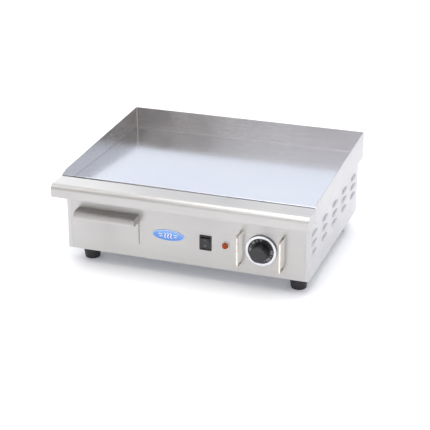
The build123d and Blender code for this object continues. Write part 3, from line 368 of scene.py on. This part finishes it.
def skin(node, material, bevel):
    """A clean copy of a CAD node: faces merged, edges rounded by a real radius, smoothly shaded."""
    source = NODES[node].data
    bm = bmesh.new()
    for vertex in source.vertices:
        bm.verts.new(vertex.co)
    bm.verts.ensure_lookup_table()
    for polygon in source.polygons:
        try:
            bm.faces.new([bm.verts[i] for i in polygon.vertices])
        except ValueError:
            continue
    bmesh.ops.remove_doubles(bm, verts=bm.verts, dist=MERGE_DISTANCE)
    bmesh.ops.dissolve_degenerate(bm, dist=MERGE_DISTANCE / 2, edges=bm.edges)
    bmesh.ops.dissolve_limit(bm, angle_limit=FLAT_ANGLE, verts=bm.verts, edges=bm.edges)
    for face in bm.faces:
        face.smooth = True
    mesh = bpy.data.meshes.new(node + "_skin")
    bm.to_mesh(mesh)
    bm.free()
    mesh.materials.append(material)
    piece = new_object(node + "_skin", mesh, NODES[node]["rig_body"])
    if bevel:
        rounding = piece.modifiers.new("edge", "BEVEL")
        rounding.width = bevel * MM
        rounding.segments = 2
        rounding.limit_method = "ANGLE"
        rounding.angle_limit = EDGE_ANGLE
    weighted = piece.modifiers.new("normals", "WEIGHTED_NORMAL")
    weighted.keep_sharp = True
    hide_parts(node)
    return piece


# each node that gets a skin, its material, and the radius of its rounded edges in millimetres
SKINS = [
    ("griddle_plate", PLATE, 0.8),
    ("splash_left", SPLASH_Y, 0.4),
    ("splash_right", SIDE, 0.4),
    ("splash_back", SPLASH_X, 0.4),
    ("front_rail", FRONT, 0.4),
    ("gutter_channel", SPLASH_X, 0.3),
    ("front_panel", FRONT, 0.3),
    ("side_panel_left", SIDE, 0.3),
    ("side_panel_right", SIDE, 0.3),
    ("back_panel", FRONT, 0.3),
    ("base_panel", MILL, 0.3),
    ("drawer_front", FRONT, 0.4),
    ("drawer_tray", SPLASH_Y, 0.3),
    ("case_screws", ZINC, 0.2),
    ("switch_housing", BLACK, 0.5),
    ("switch_rocker", BLACK, 0.5),
    ("lamp_body", WHITE, 0.25),
    ("lamp_lens", AMBER, 0.3),
    ("knob_body", BLACK, 0.5),
    ("knob_ring", BRIGHT, 0.5),
    ("knob_guard_left", GUARD, 0.0),
    ("knob_guard_right", GUARD, 0.0),
    ("cable_gland", BLACK, 0.3),
    ("foot_front_left", RUBBER, 0.6),
    ("foot_front_right", RUBBER, 0.6),
    ("foot_back_left", RUBBER, 0.6),
    ("foot_back_right", RUBBER, 0.6),
]

# the material of every slot, for the CAD nodes that are shown as they are
CARRIED = {
    "plain_steel": MILL,
    "fasteners": ZINC,
    "brass_fine": BRASS,
    "element_sheath": OXIDE,
    "fibre": FIBRE,
    "white_plastic": WHITE,
    "lead_sleeve": SLEEVE,
    "black_plastic": BLACK,
    "satin_splash": SPLASH_X,
    "brushed_sheet": FRONT,
    "bright_steel": BRIGHT,
    "foot_rubber": RUBBER,
    "polished_plate": PLATE,
    "lamp_amber": AMBER,
    "badge_blue": badge_enamel(*(corner.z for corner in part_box("badge"))),
}


def dress_nodes():
    for node, obj in NODES.items():
        obj.data.materials.clear()
        obj.data.materials.append(CARRIED[SLOTS[node]])
    for node, material, bevel in SKINS:
        skin(node, material, bevel)


# ---------------------------------------------------------------- small details
def surface_finder(node):
    """Returns a call that gives the y of a node's front surface at (x, z)."""
    mesh = NODES[node].data
    tree = BVHTree.FromPolygons([v.co for v in mesh.vertices], [p.vertices for p in mesh.polygons])

    def find(x, z):
        hit = tree.ray_cast(Vector((x, -1.0, z)), Vector((0, 1, 0)))[0]
        return hit.y if hit else None

    return find


def raised_shape(name, outlines, surface, height, material, body):
    """Flat closed outlines of (x, z) points, laid on a front surface and raised from it by height."""
    bm = bmesh.new()
    for outline in outlines:
        feet = [surface(x, z) for x, z in outline]
        front = [bm.verts.new((x, y - height, z)) for (x, z), y in zip(outline, feet)]
        back = [bm.verts.new((x, y + 0.2 * MM, z)) for (x, z), y in zip(outline, feet)]
        count = len(outline)
        bm.faces.new(front)
        bm.faces.new(list(reversed(back)))
        for i in range(count):
            j = (i + 1) % count
            bm.faces.new((front[j], front[i], back[i], back[j]))
    bmesh.ops.recalc_face_normals(bm, faces=bm.faces)
    bmesh.ops.triangulate(bm, faces=[f for f in bm.faces if len(f.verts) > 4])
    mesh = bpy.data.meshes.new(name)
    bm.to_mesh(mesh)
    bm.free()
    mesh.materials.append(material)
    return new_object(name, mesh, body)


def stroke(points, width):
    """The closed outline of a line of the given width through (x, z) points."""
    left, right = [], []
    for i, (x, z) in enumerate(points):
        ahead, behind = points[min(i + 1, len(points) - 1)], points[max(i - 1, 0)]
        run = Vector((ahead[0] - behind[0], ahead[1] - behind[1])).normalized()
        left.append((x - run.y * width / 2, z + run.x * width / 2))
        right.append((x + run.y * width / 2, z - run.x * width / 2))
    return left + right[::-1]


def ellipse(centre, half, count):
    steps = [2 * math.pi * i / count for i in range(count)]
    return [(centre[0] + half[0] * math.cos(a), centre[1] + half[1] * math.sin(a)) for a in steps]


def band(centre, half, width, count):
    """An elliptical ring as separate short outlines that meet edge to edge."""
    outer = ellipse(centre, half, count)
    inner = ellipse(centre, (half[0] - width, half[1] - width), count)
    return [[outer[i], outer[(i + 1) % count], inner[(i + 1) % count], inner[i]] for i in range(count)]


DIAL_LABELS = ("0", "50", "100", "150", "200", "250", "300")
DIAL_STEP = math.radians(45.0)
DIAL_RADIUS = 22.6 * MM            # middle of the numbers
TICK_RADII = (21.5 * MM, 25.0 * MM)
NUMBER_SIZE = 6.6 * MM


def dial_print():
    """Temperatures round the dial every 45 degrees, with a tick between neighbours."""
    low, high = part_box("knob_ring")
    axis_x, axis_z = (low.x + high.x) / 2, (low.z + high.z) / 2
    find = surface_finder("knob_body")
    dial_y = find(axis_x, axis_z + 24.0 * MM)
    upright = Matrix.Rotation(math.radians(90), 4, "X")
    for index, label in enumerate(DIAL_LABELS):
        turn = DIAL_STEP * index
        curve = bpy.data.curves.new("dial_" + label, "FONT")
        curve.body = label
        curve.size = NUMBER_SIZE
        curve.align_x = "CENTER"
        curve.align_y = "CENTER"
        curve.extrude = 0.12 * MM
        curve.offset = 0.05 * MM
        text = bpy.data.objects.new("dial_" + label, curve)
        ROOT.objects.link(text)
        bpy.context.view_layer.update()
        mesh = bpy.data.meshes.new_from_object(text)
        bpy.data.objects.remove(text)
        x, z = axis_x - DIAL_RADIUS * math.sin(turn), axis_z + DIAL_RADIUS * math.cos(turn)
        place = Matrix.Translation((x, dial_y, z))
        mesh.transform(place @ Matrix.Rotation(-turn, 4, "Y") @ upright)
        mesh.name = "dial_mark_" + label
        mesh.materials.clear()
        mesh.materials.append(DIAL)
        new_object("dial_mark_" + label, mesh, "knob")
    ticks = []
    for index in range(len(DIAL_LABELS) - 1):
        turn = DIAL_STEP * (index + 0.5)
        ends = [(axis_x - r * math.sin(turn), axis_z + r * math.cos(turn)) for r in TICK_RADII]
        ticks.append(stroke(ends, 0.7 * MM))
    raised_shape("dial_ticks", ticks, lambda x, z: dial_y, 0.1 * MM, DIAL, "knob")


def switch_marks():
    """The bar and circle of a power switch on the two halves of the rocker."""
    low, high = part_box("switch_rocker")
    x, middle, half = (low.x + high.x) / 2, (low.z + high.z) / 2, (high.z - low.z) / 2
    find = surface_finder("switch_rocker")
    bar = [stroke([(x, middle + half * 0.30), (x, middle + half * 0.66)], 1.1 * MM)]
    circle = band((x, middle - half * 0.46), (2.7 * MM, 2.7 * MM), 0.9 * MM, 24)
    raised_shape("switch_marks", bar + circle, find, 0.12 * MM, FAINT, "rocker")


def badge_detail():
    """A pale rim and three heat waves with short rules, in place of any lettering."""
    low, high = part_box("badge")
    centre = ((low.x + high.x) / 2, (low.z + high.z) / 2)
    half = ((high.x - low.x) / 2 - 0.6 * MM, (high.z - low.z) / 2 - 0.6 * MM)
    find = surface_finder("badge")
    flat = find(*centre)
    raised_shape("badge_rim", band(centre, half, 0.9 * MM, 72), lambda x, z: flat, 0.18 * MM, BRIGHT,
                 "body")
    waves = []
    for shift in (-6.5, 0.0, 6.5):
        points = []
        for i in range(13):
            rise = (i / 12 - 0.5) * 12.0
            points.append((centre[0] + (shift + 1.4 * math.sin(rise * 0.75)) * MM, centre[1] + rise * MM))
        waves.append(stroke(points, 1.9 * MM))
    for side in (-1, 1):
        for rise, reach in ((2.4, 21.0), (-2.4, 19.0)):
            ends = [(centre[0] + side * 12.5 * MM, centre[1] + rise * MM),
                    (centre[0] + side * reach * MM, centre[1] + rise * MM)]
            waves.append(stroke(ends, 1.7 * MM))
    raised_shape("badge_emblem", waves, lambda x, z: flat, 0.16 * MM, PRINT, "body")


def weld_bead(name, corner, floor, top, turn):
    """A ground weld up an inside corner, with the faint ripple that grinding leaves."""
    around, step = 7, 1.1 * MM
    count = int((top - floor) / step)
    bm = bmesh.new()
    rings = []
    for i in range(count + 1):
        z = floor + (top - floor) * i / count
        radius = (2.1 + 0.18 * math.sin(i * 2.1) + 0.1 * math.sin(i * 0.7)) * MM
        ring = [bm.verts.new((corner[0] - turn * 0.4 * MM, corner[1] + 0.4 * MM, z))]
        for k in range(around):
            angle = math.radians(90.0 * k / (around - 1))
            pull = radius * (1.0 - 0.35 * math.sin(2 * angle))
            ring.append(bm.verts.new((corner[0] + turn * pull * math.cos(angle),
                                      corner[1] - pull * math.sin(angle), z)))
        rings.append(ring)
    for low, high in zip(rings, rings[1:]):
        for k in range(len(low)):
            j = (k + 1) % len(low)
            bm.faces.new((low[k], low[j], high[j], high[k]))
    bm.faces.new(rings[0])
    bm.faces.new(rings[-1])
    bmesh.ops.recalc_face_normals(bm, faces=bm.faces)
    for face in bm.faces:
        face.smooth = len(face.verts) == 4
    mesh = bpy.data.meshes.new(name)
    bm.to_mesh(mesh)
    bm.free()
    mesh.materials.append(WELD)
    new_object(name, mesh, "body")


def corner_welds():
    """A bead in each back corner of the splash, from the plate up."""
    sheet = 1.5 * MM
    left, right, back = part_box("splash_left"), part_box("splash_right"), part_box("splash_back")
    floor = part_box("griddle_plate")[1].z
    top, y = back[1].z - 0.3 * MM, back[1].y - sheet
    weld_bead("weld_left", (left[0].x + sheet, y), floor, top, 1)
    weld_bead("weld_right", (right[1].x - sheet, y), floor, top, -1)


make_camera()
make_world()
make_floor()
area_light("overhead", (0.35, -0.55, 2.1), (0.2, -0.2, 0.0), (2.0, 2.0), 36.0, (1.0, 0.99, 0.97))
area_light("front_card", (-0.30, -2.3, 1.60), (-0.1, 0.0, 0.2), (1.4, 0.9), 5.7, (0.94, 0.965, 1.05))
area_light("left_strip", (-1.35, -1.1, 1.7), (0.0, 0.0, 0.1), (0.7, 0.9), 5.0, (1.0, 0.99, 0.97))
area_light("back_card", (-1.68, 1.9, 2.0), (-0.2, 0.0, 0.2), (1.0, 0.9), 6.8, (1.0, 0.99, 0.98))
area_light("back_glow", (-0.38, 1.9, 2.0), (0.0, 0.0, 0.2), (0.5, 0.9), 0.8, (1.0, 0.99, 0.98))
dress_nodes()
dial_print()
switch_marks()
badge_detail()
corner_welds()

SCENE.view_settings.view_transform = "Standard"
SCENE.view_settings.look = "None"
